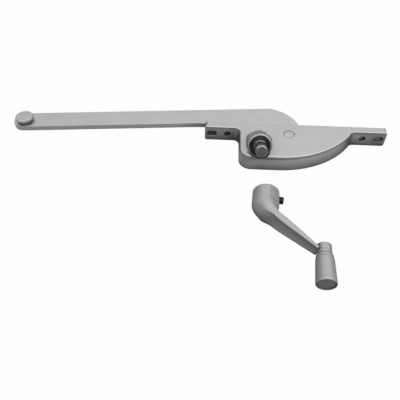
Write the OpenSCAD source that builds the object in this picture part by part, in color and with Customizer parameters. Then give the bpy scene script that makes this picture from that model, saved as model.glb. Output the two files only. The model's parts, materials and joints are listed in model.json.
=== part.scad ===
// Single-arm casement window operator with a teardrop housing, and its loose crank handle.
// A worm on the inclined spindle turns a toothed arm, and the stud at the arm's end slides in
// a track on the sash. The crank lies in front of the housing, off the spindle.
//
// Frame: the origin is the middle of the four screw holes, on the mounting (back) face.
// +X runs along the housing, +Y points out through the window, +Z is up.

/* [Housing] */
// Length over the two mounting ears
housing_l = 154.5; // [150:0.5:160]
// Height of the casting
housing_h = 14.5; // [14.5:0.1:15]
// Depth from the mounting face to the front wall
housing_d = 42.4; // [42:0.1:43]
// Thickness of the cast side walls
wall_t = 2; // [1.8:0.1:2.2]
// Thickness of the cast roof
roof_t = 1.8; // [1.6:0.1:2]
// Thickness of the mounting ears, front to back
ear_t = 6.7; // [6.2:0.1:7]
// Radius of the curved side of the teardrop
front_r = 76.6; // [75:0.2:78]
// Thickness of the steel base plate
plate_t = 1.2; // [1:0.1:1.3]

/* [Screw holes] */
// Distance between the outer, slotted holes
outer_span = 142.5; // [141:0.5:143]
// Distance between the inner, round holes
inner_span = 115.4; // [114:0.2:116]
// Diameter of a round hole, and width of a slot
hole_d = 5.2; // [4.5:0.1:5.4]
// Length of a slot
slot_l = 8.4; // [7.5:0.1:9]

/* [Arm] */
// Distance from the pivot to the stud
arm_l = 231; // [200:0.1:240]
// Width of the arm
arm_w = 19.1; // [18.5:0.1:19.5]
// Thickness of the arm, and so of its teeth
arm_t = 4.4; // [4:0.1:4.4]
// Distance of the arm's middle line from the pivot
arm_offset = 31.8; // [31.6:0.1:32]
// Angle between the closed arm and the mounting face
arm_toe = 5.15; // [5.1:0.01:5.2]
// Diameter of the stud's head
stud_d = 15; // [14:0.1:16]

/* [Gearing] */
// Distance between the pivot and the middle of the worm
worm_distance = 25.6; // [25.6:0.01:25.65]
// Slope of the spindle above the horizontal
spindle_tilt = 27.6; // [27.5:0.05:27.7]
// Teeth on a full turn of the arm's gear
gear_teeth = 33; // [33:1:33]
// Normal module of the teeth
tooth_module = 1.25; // [1.24:0.01:1.25]
// Play between the worm and the teeth, measured across a tooth
backlash = 0.3; // [0.25:0.01:0.35]

/* [Spindle] */
// Diameter of the splined end
spindle_d = 9.5; // [9.4:0.05:9.55]
// Length of the spindle in front of the boss
spindle_reach = 18.3; // [15:0.1:20]
// Outer diameter of the boss
boss_d = 19.3; // [19:0.1:19.4]
// Number of splines
spline_count = 20; // [16:1:20]

/* [Crank] */
// Distance from the hub's axis to the knob's axis
crank_r = 41.8; // [41:0.1:43]
// Diameter of the hub
hub_d = 20.2; // [20:0.1:20.4]
// Length from the socket's mouth to the knob's end
crank_l = 73.5; // [73:0.1:75]
// Depth of the socket
socket_l = 16; // [15:0.1:16.5]
// Diameter of the knob at its outer end
knob_d = 14.2; // [14:0.1:14.4]
// How far the set screw stands out of the hub
screw_out = 3; // [2.6:0.1:3.2]

/* [Hidden] */
$fn = 72;
hull_fn = 32;
cut = 1;            // how far a cutting tool runs past the surface it cuts
fit = 0.03;         // radial play of pressed and riveted pieces
run = 0.06;         // radial play of turning pieces

// The housing
hole_z = housing_h / 2;
pivot_x = -6;
pivot_y = -13;
body_left = pivot_x - 41.7;
arc_x = pivot_x - 10;               // where the straight front becomes the arc
corner_r = 10;
ear_end_r = 2;
inner_fillet_r = 5;
fillet_overlap = 0.03;
cavity_right = 45;
cavity_h = housing_h - roof_t;
ledge_w = 0.9;                      // step in the walls that the base plate sits on
plate_z = 0.2;
floor_z = plate_z + plate_t;

// The pivot stack
arm_z = 6.1;
arm_top = arm_z + arm_t;
pivot_d = 9;
pivot_foot_d = 6.4;
pivot_hub_d = 17;
pivot_hub_z = arm_top + 0.8;
bush_proud = 0.2;
arm_bush_d = 12.4;
washer_t = 0.5;
axial_gap = 0.05;

// The gearing, as a pair of crossed helical gears with a one-start worm
pressure = 20;
worm_z = 7.9;                       // height at which the spindle's axis passes the pivot
worm_lead_angle = 9.26;
gear_helix = spindle_tilt - worm_lead_angle;
gear_r = gear_teeth * tooth_module / (2 * cos(gear_helix));
worm_r = tooth_module / (2 * sin(worm_lead_angle));
addendum = 0.95 * tooth_module;
dedendum = 1.2 * tooth_module;
gear_tip_r = gear_r + addendum;
gear_root_r = gear_r - dedendum;
worm_tip_r = worm_r + addendum;
worm_root_r = worm_r - dedendum;
worm_lead = PI * tooth_module / cos(worm_lead_angle);
gear_sweep_r = gear_tip_r + 0.7;
flank_steps = 5;
first_tooth = 160;                  // first and last tooth, as angles on the arm
last_tooth = 285;

// Stations along the spindle's axis, from the point where it passes the pivot
rear_end = -9;
rear_bush_from = -9.3;
rear_bush_to = -5.6;
worm_from = -4.6;
worm_to = 5.6;
neck_to = 7;
journal_from = 10.2;
collar_from = 11.9;
collar_to = 12.9;
spindle_washer_to = 13.7;
bush_from = 13.8;
bush_flange_from = 20.6;
bush_flange_to = 21.8;
ring_from = 21.85;
ring_to = 23;
boss_face = 24.7;
spline_from = boss_face + 2;
spindle_tip = boss_face + spindle_reach;
boss_from = -4;                     // where the boss's top line leaves the roof
boss_inside_from = 11;              // back end of the boss inside the cavity

// Radii around the spindle's axis
rear_journal_r = 1.75;
rear_bush_r = 2.4;
bush_r = 6;
collar_r = 5.6;
journal_r = spindle_d / 2 + 0.2;    // a shoulder that stops the crank
recess_r = 8.3;
ring_r = 8.75;
ring_w = 1.7;
spline_depth = 0.35;
spline_w = 0.35;
spline_run_in = 0.3;                // how far the grooves run into the shoulder

// The crank, which lies on the surface that the housing stands on
mouth_x = pivot_x - 21.4;
mouth_y = pivot_y - 64.1;
crank_yaw = -4.3;
crank_roll = -4.1;
hub_r = hub_d / 2;
mouth_bevel = 0.7;
hub_straight = 13;
eye_from = 42.4;
eye_to = 50.5;
eye_r = 5.25;
knob_from = eye_to + 0.7;
knob_neck_r = 6;
knob_r = knob_d / 2;
pin_r = 2.5;
pin_head_r = 4;
pin_head_from = 66;
pin_head_to = 68;
cap_from = 70.8;
cap_to = 72.4;
cap_r = 6.3;
screw_r = 2.9;
screw_at = 6.2;
screw_l = 6;

// ---- Places ----

// Stands its children on the surface under the housing
module on_base() {
    translate([0, 0, -hole_z]) children();
}

// Puts its children's Z axis on the pivot, with Z = 0 at the bottom
module at_pivot() {
    translate([pivot_x, pivot_y, -hole_z]) children();
}

// Lays its children's Z axis along the spindle, pointing into the room
module on_spindle() {
    at_pivot()
        translate([-worm_distance, 0, worm_z])
            rotate([90 - spindle_tilt, 0, 0]) children();
}

// Lays its children's Z axis along the crank's hub, from the mouth, with X towards the knob
module on_crank() {
    translate([mouth_x, mouth_y, hub_r - hole_z])
        rotate([90, 0, crank_yaw])
            rotate([0, 0, crank_roll]) children();
}

// The same, with the Z axis along the knob's pin
module on_knob() {
    on_crank() translate([crank_r, 0, 0]) children();
}

// ---- Shapes ----

// A ring along Z
module tube(r_out, r_in, from, to) {
    translate([0, 0, from])
        difference() {
            cylinder(r = r_out, h = to - from);
            translate([0, 0, -cut]) cylinder(r = r_in, h = to - from + 2 * cut);
        }
}

// A cylinder along Z between two stations
module rod(r, from, to) {
    translate([0, 0, from]) cylinder(r = r, h = to - from);
}

// A hole through an ear, running along Y, widened by half_slot each way along X
module ear_hole(x, half_slot) {
    translate([x, -ear_t - cut, hole_z])
        rotate([-90, 0, 0]) {
            for (side = [-1, 1])
                translate([side * half_slot, 0, 0]) cylinder(d = hole_d, h = ear_t + 2 * cut);
            if (half_slot > 0)
                translate([-half_slot, -hole_d / 2, 0])
                    cube([2 * half_slot, hole_d, ear_t + 2 * cut]);
        }
}

// The teardrop body in plan, with its edge moved in by inset and its back at Y = back
module body_outline(inset, back) {
    left = body_left + inset;
    front = -housing_d + inset;
    r = corner_r - inset;
    translate([left + r, front]) square([arc_x - left - r, back - front]);
    translate([left, front + r]) square([arc_x - left, back - front - r]);
    translate([left + r, front + r]) circle(r = r);
    intersection() {
        translate([arc_x, front_r - housing_d]) circle(r = front_r - inset);
        translate([arc_x, front - cut]) square([housing_l, back - front + cut]);
    }
}

// The fillet between the left ear and the body's left wall
module left_fillet() {
    difference() {
        translate([body_left - inner_fillet_r, -ear_t - inner_fillet_r])
            square([inner_fillet_r + cut, inner_fillet_r + cut]);
        translate([body_left - inner_fillet_r, -ear_t - inner_fillet_r])
            circle(r = inner_fillet_r);
    }
}

// The fillet between the right ear and the curved side, tangent to the ear and just past
// tangent to the curved side, where it reaches in under the surface
module right_fillet() {
    centre_y = -ear_t - inner_fillet_r;
    rise = front_r - housing_d - centre_y;
    reach = front_r + inner_fillet_r - fillet_overlap;
    centre_x = arc_x + sqrt(reach * reach - rise * rise);
    inside = (front_r - 1) / reach;
    difference() {
        polygon([
            [centre_x, -ear_t + cut],
            [centre_x, centre_y],
            [arc_x + (centre_x - arc_x) * inside, front_r - housing_d - rise * inside],
            [centre_x - 3 * inner_fillet_r, -ear_t + cut]
        ]);
        translate([centre_x, centre_y]) circle(r = inner_fillet_r);
    }
}

// The whole casting in plan
module housing_outline() {
    body_outline(0, 0);
    translate([-housing_l / 2, -ear_t]) square([housing_l, ear_t]);
    left_fillet();
    right_fillet();
}

// Front view of the casting, which rounds the outer corners of the ears
module ear_end_profile() {
    r = ear_end_r;
    for (side = [-1, 1])
        for (z = [r, housing_h - r])
            translate([side * (housing_l / 2 - r), z]) circle(r = r);
    translate([-housing_l / 2, r]) square([housing_l, housing_h - 2 * r]);
    translate([r - housing_l / 2, 0]) square([housing_l - 2 * r, housing_h]);
}

// Where the base plate is riveted to posts inside the walls, from the pivot
rivet_places = [[-36.4, -22.4], [21, -17.7], [-38.2, 9.3], [46.6, 3]];
post_r = 2.6;
rivet_r = 1.5;
rivet_top = 6;

module at_rivets() {
    for (place = rivet_places)
        translate([place[0], place[1], 0]) children();
}

// The bearing lug behind the worm, left standing inside the cavity
lug_left = -30;
lug_front = 5;
lug_d = 5.5;
lug_upper_right = -22.8;
lug_lower_right = -20.8;

module rear_lug() {
    translate([lug_left, lug_front, plate_z])
        cube([lug_upper_right - lug_left, lug_d, housing_h - plate_z]);
    translate([lug_left, lug_front, plate_z])
        cube([lug_lower_right - lug_left, lug_d, arm_z - 0.4 - plate_z]);
}

// The part of the base plate left open under the worm and its rear bearing
module worm_window() {
    translate([pivot_x + lug_left - 3, pivot_y - 9])
        square([15.5, housing_d]);
}

// ---- Housing and what is fixed in it ----

// Everything that stays solid inside the cavity
module housing_islands() {
    on_spindle() rod(boss_d / 2 + 1, boss_inside_from, boss_face + 2);
    at_pivot() {
        rear_lug();
        rod(pivot_hub_d / 2, pivot_hub_z, housing_h);
        at_rivets() rod(post_r, floor_z, housing_h);
    }
}

module housing_cavity() {
    difference() {
        on_base()
            translate([0, 0, -cut])
                linear_extrude(cavity_h + cut)
                    intersection() {
                        body_outline(wall_t, cut);
                        translate([body_left, -housing_d])
                            square([cavity_right - body_left, housing_d + 2 * cut]);
                    }
        housing_islands();
    }
}

// Everything under the surface that the housing stands on
module below_base() {
    on_base()
        translate([-housing_l, -housing_l, -housing_h])
            cube([2 * housing_l, 2 * housing_l, housing_h]);
}

module spindle_bores() {
    on_spindle() {
        rod(rear_bush_r + fit, rear_bush_from - 0.1, 0);
        rod(worm_tip_r + 0.5, -5, 12);
        rod(bush_r + fit, boss_inside_from - cut, bush_flange_from + cut);
        rod(recess_r, bush_flange_from, boss_face + cut);
        rod(ring_r + 0.1, ring_from - 0.05, ring_to + 0.05);
        rod(boss_d / 2 + 0.3, boss_face, spindle_tip);
    }
}

module housing() {
    color("silver")
        difference() {
            union() {
                on_base()
                    intersection() {
                        linear_extrude(housing_h) housing_outline();
                        translate([0, cut, 0])
                            rotate([90, 0, 0])
                                linear_extrude(housing_d + 2 * cut) ear_end_profile();
                    }
                on_spindle() rod(boss_d / 2, boss_from, boss_face);
            }
            housing_cavity();
            spindle_bores();
            below_base();
            on_base()
                translate([0, 0, -cut])
                    linear_extrude(floor_z + cut) body_outline(wall_t - ledge_w, -wall_t);
            at_pivot() {
                rod(gear_sweep_r, arm_z - 0.7, pivot_hub_z);
                rod(pivot_d / 2 + fit, arm_top, housing_h + cut);
                at_rivets() rod(rivet_r + fit, 0, rivet_top);
            }
            on_base() {
                for (side = [-1, 1]) {
                    ear_hole(side * outer_span / 2, (slot_l - hole_d) / 2);
                    ear_hole(side * inner_span / 2, 0);
                }
            }
        }
}

module base_plate() {
    color("lightsteelblue")
        difference() {
            on_base()
                translate([0, 0, plate_z])
                    linear_extrude(plate_t)
                        difference() {
                            body_outline(wall_t - ledge_w + 0.15, -wall_t - 0.15);
                            worm_window();
                        }
            at_pivot() {
                rod(pivot_foot_d / 2 + fit, 0, floor_z + cut);
                at_rivets() rod(rivet_r + fit, 0, floor_z + cut);
            }
        }
}

module base_rivets() {
    color("gainsboro") at_pivot() at_rivets() rod(rivet_r, plate_z, rivet_top - 0.1);
}

module pivot_pin() {
    color("lightgray")
        at_pivot() {
            rod(pivot_d / 2, floor_z, housing_h);
            rod(pivot_foot_d / 2, plate_z, floor_z);
        }
}

module lower_spacer() {
    color("darkgray")
        at_pivot() tube(8, pivot_d / 2 + fit, floor_z, arm_z - bush_proud - axial_gap);
}

module upper_washer() {
    color("gray")
        at_pivot()
            tube(8, pivot_d / 2 + fit, pivot_hub_z - washer_t, pivot_hub_z);
}

// ---- Arm ----

// Angle between an involute's start and its point at radius r
function involute(base_r, r) =
    r <= base_r ? 0 : (sqrt(r * r - base_r * base_r) / base_r) * 180 / PI - acos(base_r / r);

// Half the angle of a tooth at radius r, for a gear of the given pitch radius
function half_tooth(pitch_r, base_r, pitch_half, r) =
    pitch_half + involute(base_r, pitch_r) - involute(base_r, r);

function polar(r, angle) = [r * cos(angle), r * sin(angle)];

gear_base_r = gear_r * cos(atan(tan(pressure) / cos(gear_helix)));
gear_pitch_half = 90 / gear_teeth - backlash / 4 / cos(gear_helix) / gear_r * 180 / PI;
tooth_pitch = 360 / gear_teeth;

function gear_flank(centre, side) = [
    for (i = [0:flank_steps])
        let (k = side < 0 ? i : flank_steps - i)
        let (r = gear_root_r + (gear_tip_r - gear_root_r) * k / flank_steps)
        polar(r, centre + side * half_tooth(gear_r, gear_base_r, gear_pitch_half, r))
];

// The tooth space in mesh lies at 180 degrees in the closed position
gear_phase = 180 - arm_toe + tooth_pitch / 2;
first_number = ceil((first_tooth - gear_phase) / tooth_pitch);
last_number = floor((last_tooth - gear_phase) / tooth_pitch);

module gear_teeth_outline() {
    rim = gear_root_r - 3;
    points = [
        for (n = [first_number:last_number])
            each concat(
                gear_flank(gear_phase + n * tooth_pitch, -1),
                gear_flank(gear_phase + n * tooth_pitch, 1))
    ];
    start = gear_phase + (first_number - 0.5) * tooth_pitch;
    end = gear_phase + (last_number + 0.5) * tooth_pitch;
    polygon(concat(
        [polar(rim, start), polar(gear_root_r, start)],
        points,
        [polar(gear_root_r, end)],
        [for (a = [end:-tooth_pitch:start + 1]) polar(rim, a)]));
}

// The teeth lean with the gear's helix angle; the turn is shared above and below worm_z
module gear_teeth_solid() {
    turn = arm_t * tan(gear_helix) / gear_r * 180 / PI;
    share = (worm_z - arm_z) / arm_t;
    rotate([0, 0, turn * share])
        linear_extrude(arm_t, twist = turn, slices = 6) gear_teeth_outline();
}

// Outline of the head, between the strip and the pivot
head_left = -14;
corner_gap = 2.5; // between the arm's inner edge and the housing's back, at rest
head_arc_r = 33;
head_arc_x = -20.6;
head_arc_y = 10.1;
head_hub_r = 13;

module arm_head_outline() {
    front = arm_offset - arm_w / 2;
    intersection() {
        translate([head_arc_x, head_arc_y]) circle(r = head_arc_r);
        union() {
            translate([head_left, front]) square([-2 * head_left, arm_w]);
            translate([head_left + 6, 0]) square([-2 * head_left, front]);
        }
    }
    circle(r = head_hub_r);
    intersection() {
        circle(r = gear_root_r - 1.5);
        polygon([
            [0, 0], polar(2 * gear_r, first_tooth - 55), polar(2 * gear_r, first_tooth),
            polar(2 * gear_r, 200), polar(2 * gear_r, 240), polar(2 * gear_r, last_tooth + 3)
        ]);
    }
}

// Fills the corner between strip and head, along a line just behind the housing's back
module arm_corner_outline() {
    front = arm_offset - arm_w / 2;
    rise = corner_gap - pivot_y;
    function edge_at(x) = (rise - x * sin(arm_toe)) / cos(arm_toe);
    meets = (rise - front * cos(arm_toe)) / sin(arm_toe);
    right = head_left + 7;
    polygon([[meets, front], [right, edge_at(right)], [right, front + 1], [meets, front + 1]]);
}

module arm_strip_outline() {
    stud_x = -sqrt(arm_l * arm_l - arm_offset * arm_offset);
    translate([stud_x, arm_offset - arm_w / 2]) square([head_left + 2 - stud_x, arm_w]);
    translate([stud_x, arm_offset]) circle(d = arm_w);
}

module on_arm() {
    at_pivot() rotate([0, 0, arm_toe]) children();
}

module at_stud() {
    on_arm()
        translate([-sqrt(arm_l * arm_l - arm_offset * arm_offset), arm_offset, 0]) children();
}

stud_neck_r = 4;
stud_gap = 1.9;
stud_head_t = 2.3;

module arm() {
    color("silver")
        difference() {
            on_arm()
                translate([0, 0, arm_z])
                    union() {
                        linear_extrude(arm_t) {
                            arm_head_outline();
                            arm_corner_outline();
                            arm_strip_outline();
                        }
                        gear_teeth_solid();
                    }
            on_arm() rod(arm_bush_d / 2, arm_z - cut, arm_top + cut);
            at_stud() rod(stud_neck_r + fit, arm_z - cut, arm_top + cut);
        }
}

module arm_bush() {
    color("peru")
        at_pivot()
            tube(arm_bush_d / 2, pivot_d / 2 + run, arm_z - bush_proud, arm_top + bush_proud);
}

module arm_stud() {
    color("silver")
        at_stud()
            union() {
                rod(stud_neck_r, arm_z, arm_top + stud_gap);
                translate([0, 0, arm_top + stud_gap])
                    rotate_extrude()
                        polygon([
                            [0, 0], [stud_d / 2 - 0.5, 0], [stud_d / 2, 0.5],
                            [stud_d / 2, stud_head_t - 0.6], [stud_d / 2 - 0.6, stud_head_t],
                            [0, stud_head_t]
                        ]);
            }
}

// ---- Spindle ----

worm_base_r = worm_r * cos(atan(tan(pressure) / sin(worm_lead_angle)));
worm_pitch_half = 90 - backlash / 4 / cos(worm_lead_angle) / worm_lead * 360;
worm_flank_steps = 7;
worm_root_steps = 8;
worm_neck_r = 0.93 * worm_root_r;   // stays inside the root, whose sides are flat
worm_segments = 30;
worm_slices = 56;

// Cross-section of the one-start worm, with its thread centred on the X axis
module worm_outline() {
    function half_at(r) = half_tooth(worm_r, worm_base_r, worm_pitch_half, r);
    flank = [
        for (i = [0:worm_flank_steps])
            let (r = worm_root_r + (worm_tip_r - worm_root_r) * i / worm_flank_steps)
            [r, half_at(r)]
    ];
    root_from = half_at(worm_root_r);
    tip = half_at(worm_tip_r);
    polygon(concat(
        [for (p = flank) polar(p[0], -p[1])],
        [for (i = [1:3]) polar(worm_tip_r, -tip + 2 * tip * i / 4)],
        [for (i = [worm_flank_steps:-1:0]) polar(flank[i][0], flank[i][1])],
        [for (i = [1:worm_root_steps - 1])
            polar(worm_root_r, root_from + (360 - 2 * root_from) * i / worm_root_steps)]));
}

// A right-handed thread, turned so that it fills the gear's tooth space on the side of the arm
module worm_thread() {
    length = worm_to - worm_from;
    turn = 360 * length / worm_lead;
    rotate([0, 0, 360 * worm_from / worm_lead])
        translate([0, 0, worm_from])
            linear_extrude(length, twist = -turn, slices = worm_slices, segments = worm_segments)
                worm_outline();
}

module spindle_splines() {
    for (i = [0:spline_count - 1])
        rotate([0, 0, i * 360 / spline_count])
            translate([spindle_d / 2 - spline_depth, -spline_w / 2, spline_from - spline_run_in])
                cube([spline_depth + cut, spline_w, spindle_tip - spline_from + spline_run_in + cut]);
}

module spindle() {
    color("gainsboro")
        on_spindle()
            difference() {
                union() {
                    worm_thread();
                    rod(rear_journal_r, rear_end, worm_from + 0.5);
                    rod(worm_neck_r, worm_to - 0.5, neck_to);
                    translate([0, 0, neck_to])
                        cylinder(r1 = worm_neck_r, r2 = journal_r, h = journal_from - neck_to);
                    rod(journal_r, journal_from, spline_from);
                    rod(spindle_d / 2, spline_from - cut, spindle_tip - 0.8);
                    translate([0, 0, spindle_tip - 0.8])
                        cylinder(r1 = spindle_d / 2, r2 = spindle_d / 2 - 0.8, h = 0.8);
                    rod(collar_r, collar_from, collar_to);
                }
                spindle_splines();
            }
}

module spindle_washer() {
    color("gray")
        on_spindle()
            tube(bush_r - run, journal_r + run, collar_to + axial_gap, spindle_washer_to);
}

module front_bush() {
    color("dimgray")
        on_spindle()
            difference() {
                union() {
                    rod(bush_r, bush_from, bush_flange_from);
                    rod(recess_r - 0.1, bush_flange_from, bush_flange_to);
                }
                rod(journal_r + run, bush_from - cut, bush_flange_to + cut);
            }
}

module rear_bush() {
    color("peru")
        on_spindle() tube(rear_bush_r, rear_journal_r + run, rear_bush_from, rear_bush_to);
}

// An internal snap ring with a gap and two eyes at the lower left
ring_gap = 32;
ring_gap_at = 235;
ring_eye_r = 1.5;

module retaining_ring() {
    color("dimgray")
        on_spindle()
            difference() {
                union() {
                    tube(ring_r, ring_r - ring_w, ring_from, ring_to);
                    for (side = [-1, 1])
                        rotate([0, 0, ring_gap_at + side * (ring_gap / 2 + 3)])
                            translate([ring_r - ring_w - 0.4, 0, 0])
                                rod(ring_eye_r, ring_from, ring_to);
                }
                rotate([0, 0, ring_gap_at])
                    translate([0, 0, ring_from - cut])
                        linear_extrude(ring_to - ring_from + 2 * cut)
                            polygon([
                                [0, 0], polar(2 * ring_r, -ring_gap / 2 + 4),
                                polar(2 * ring_r, ring_gap / 2 - 4)
                            ]);
                for (side = [-1, 1])
                    rotate([0, 0, ring_gap_at + side * (ring_gap / 2 + 3)])
                        translate([ring_r - ring_w - 0.4, 0, 0])
                            rod(0.6, ring_from - cut, ring_to + cut);
            }
}

// ---- Crank ----

module crank_body() {
    color("silver")
        difference() {
            on_crank()
                union() {
                    cylinder(r1 = hub_r - mouth_bevel, r2 = hub_r, h = mouth_bevel);
                    rod(hub_r, mouth_bevel, hub_straight);
                    translate([0, 0, hub_straight]) sphere(r = hub_r);
                    crank_web();
                    translate([crank_r, 0, 0]) rod(eye_r, eye_from, eye_to);
                }
            on_crank() {
                rod(spindle_d / 2 + run, -cut, socket_l);
                translate([0, 0, screw_at])
                    rotate([0, 90, 0]) rod(screw_r + fit, 0, hub_r + cut);
                translate([crank_r, 0, 0]) rod(pin_r, eye_from - cut, eye_to + cut);
            }
        }
}

// The sloping web between the hub and the eye
module crank_web() {
    hull() {
        translate([2.1, -7.5, 20.8])
            rotate([-90, 0, 0]) cylinder(r = 3.6, h = 15, $fn = hull_fn);
        translate([36.2, -4.6, 47])
            rotate([-90, 0, 0]) cylinder(r = 1.1, h = 9.2, $fn = hull_fn);
    }
}

module set_screw() {
    color("black")
        on_crank()
            translate([0, 0, screw_at])
                rotate([0, 90, 0])
                    difference() {
                        rod(screw_r, hub_r + screw_out - screw_l, hub_r + screw_out);
                        translate([-screw_r - cut, -0.5, hub_r + screw_out - 1.3])
                            cube([2 * screw_r + 2 * cut, 1, 2]);
                    }
}

module knob_pin() {
    color("gainsboro")
        on_knob() {
            rod(pin_r, eye_from + 0.4, pin_head_from);
            rod(pin_head_r, pin_head_from, pin_head_to);
        }
}

module knob_washer() {
    color("gray")
        on_knob() tube(4.9, pin_r + fit, eye_to, knob_from - 0.1);
}

module knob() {
    color("silver")
        on_knob()
            difference() {
                union() {
                    rod(knob_neck_r, knob_from, knob_from + 2.4);
                    translate([0, 0, knob_from + 2.4])
                        cylinder(r1 = 6.3, r2 = knob_r, h = crank_l - knob_from - 2.4);
                }
                rod(pin_r + run, knob_from - cut, cap_from);
                rod(pin_head_r + 0.8, pin_head_from - 0.3, cap_from);
                rod(cap_r, cap_from, crank_l + cut);
            }
}

module knob_cap() {
    color("dimgray")
        on_knob()
            difference() {
                rod(cap_r, cap_from, cap_to);
                translate([0, 0, cap_to + 24.4]) sphere(r = 25);
            }
}

housing();
base_plate();
base_rivets();
pivot_pin();
lower_spacer();
upper_washer();
arm();
arm_bush();
arm_stud();
spindle();
spindle_washer();
front_bush();
retaining_ring();
rear_bush();
crank_body();
set_screw();
knob_pin();
knob_washer();
knob();
knob_cap();
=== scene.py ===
"""The looks of a single-arm casement window operator with a teardrop housing and a loose crank.

Lengths are in millimetres in the shape code, and in metres on the Blender objects. The row frame
has +X along the housing, +Y out through the window and +Z up.
"""

import json
from math import acos, asin, atan, atan2, cos, degrees, pi, radians, sin, sqrt, tan

import bmesh
import bpy
import numpy as np
from mathutils import Matrix, Vector


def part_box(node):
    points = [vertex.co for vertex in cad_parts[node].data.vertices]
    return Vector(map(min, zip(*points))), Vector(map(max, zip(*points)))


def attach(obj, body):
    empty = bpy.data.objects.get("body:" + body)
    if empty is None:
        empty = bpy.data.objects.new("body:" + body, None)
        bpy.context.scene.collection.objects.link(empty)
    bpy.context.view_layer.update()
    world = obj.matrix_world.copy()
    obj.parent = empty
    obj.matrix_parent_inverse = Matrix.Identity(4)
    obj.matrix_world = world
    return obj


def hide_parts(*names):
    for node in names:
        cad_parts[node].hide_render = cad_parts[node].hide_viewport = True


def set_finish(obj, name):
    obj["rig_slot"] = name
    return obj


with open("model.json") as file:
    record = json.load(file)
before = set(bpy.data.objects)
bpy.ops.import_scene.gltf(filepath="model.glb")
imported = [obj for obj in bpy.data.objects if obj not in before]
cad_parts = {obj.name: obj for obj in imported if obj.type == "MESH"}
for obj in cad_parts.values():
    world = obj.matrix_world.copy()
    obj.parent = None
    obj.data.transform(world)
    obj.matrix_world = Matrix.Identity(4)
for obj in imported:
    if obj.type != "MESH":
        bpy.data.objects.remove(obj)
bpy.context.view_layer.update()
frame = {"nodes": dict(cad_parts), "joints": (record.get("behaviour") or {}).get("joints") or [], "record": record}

MM = 0.001
JOINTS = {joint["name"]: joint for joint in frame["joints"]}

# ---- Places, read from the frame ----

BASE_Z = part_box("housing")[0].z / MM
PIVOT = Vector(JOINTS["arm_swing"]["pos_m"]) / MM
SPINDLE_START = Vector(JOINTS["spindle_turn"]["pos_m"]) / MM
SPINDLE_AXIS = Vector(JOINTS["spindle_turn"]["axis"]).normalized()
KNOB_AXIS = Vector(JOINTS["knob_spin"]["axis"]).normalized()
SCREW_AXIS = -Vector(JOINTS["set_screw_travel"]["axis"]).normalized()
MOUNTS = {mount["name"]: mount for mount in frame["record"]["mounts"]}
SOCKET_MIDDLE = Vector(MOUNTS["crank_socket"]["pos_m"]) / MM
SOCKET_L = MOUNTS["crank_socket"]["dims"]["length_mm"]
CRANK_MOUTH = SOCKET_MIDDLE - KNOB_AXIS * SOCKET_L / 2
STUD = Vector(MOUNTS["stud_head"]["pos_m"]) / MM


def placed(origin, z_axis, x_hint):
    """A matrix whose Z lies along z_axis, with X as near to x_hint as it can be."""
    z = Vector(z_axis).normalized()
    y = z.cross(Vector(x_hint)).normalized()
    x = y.cross(z)
    rotation = Matrix((x, y, z)).transposed().to_4x4()
    return Matrix.Translation(Vector(origin)) @ rotation


ON_BASE = Matrix.Translation((0, 0, BASE_Z))
AT_PIVOT = Matrix.Translation((PIVOT.x, PIVOT.y, BASE_Z))
AT_STUD = Matrix.Translation((STUD.x, STUD.y, BASE_Z))
ON_SPINDLE = placed(SPINDLE_START, SPINDLE_AXIS, (1, 0, 0))
ON_CRANK = placed(CRANK_MOUTH, KNOB_AXIS, SCREW_AXIS)

# ---- Sizes that the visible pieces share with the design, in millimetres ----

HOUSING_L = 154.5
HOUSING_H = 14.5
HOUSING_D = 42.4
WALL_T = 2.0
ROOF_T = 1.8
EAR_T = 6.7
FRONT_R = 76.6
CORNER_R = 10.0
FILLET_R = 5.0
BODY_LEFT = PIVOT.x - 41.7
ARC_X = PIVOT.x - 10.0
ARC_CENTRE = (ARC_X, FRONT_R - HOUSING_D)
OUTER_SPAN = 142.5
INNER_SPAN = 115.4
HOLE_R = 2.6
SLOT_L = 8.4
CAVITY_RIGHT = 45.0
PLATE_FROM = 0.2
PLATE_TOP = 1.4
ARM_Z = 6.1
ARM_TOP = 10.5
PIVOT_R = 4.5
PIVOT_HUB_R = 8.5
PIVOT_HUB_Z = ARM_TOP + 0.8
GEAR_SWEEP_R = 23.6
POST_R = 2.6
RIVET_R = 1.5
RIVET_TOP = 6.0
RIVET_PLACES = [(-36.4, -22.4), (21.0, -17.7), (-38.2, 9.3), (46.6, 3.0)]

SPINDLE_R = 4.75
JOURNAL_R = 4.95
BOSS_R = 9.65
BOSS_BALL_AT = 10.5
BOSS_BLEND = 2.4
BOSS_FACE = 24.7
BOSS_FROM = -4.0
BOSS_INSIDE_FROM = 11.0
RECESS_R = 8.3
BUSH_R = 6.03
BUSH_FLANGE_FROM = 20.6
RING_FROM = 21.85
RING_TO = 23.0
RING_R = 8.75
SPINDLE_TIP = 43.0
WORM_CLEAR_R = 5.57

HUB_R = 10.1
HUB_STRAIGHT = 13.0
SOCKET_R = 4.81
CRANK_R = 41.8
EYE_FROM = 42.4
EYE_TO = 50.5
EYE_R = 5.25
KNOB_FROM = 51.2
KNOB_R = 7.1
CRANK_L = 73.5
CAP_FROM = 70.8
CAP_TO = 72.4
CAP_R = 6.3
SCREW_AT = 6.2
SCREW_R = 2.9
SCREW_L = 6.0
SCREW_OUT = 3.0
PIN_HOLE_R = 2.5

# How much wider a hole is than what it holds, and how far a cut runs past a surface
FIT = 0.03
PAST = 1.0

# ---- Mesh tools ----


def add_object(name, data):
    thing = bpy.data.objects.new(name, data)
    bpy.context.scene.collection.objects.link(thing)
    return thing


def new_piece(name, verts, faces, place):
    """A mesh object made from points in millimetres in a place's own coordinates."""
    mesh = bpy.data.meshes.new(name)
    mesh.from_pydata([tuple(v) for v in verts], [], faces)
    mesh.transform(Matrix.Scale(MM, 4) @ place)
    mesh.update()
    return add_object(name, mesh)


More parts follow.
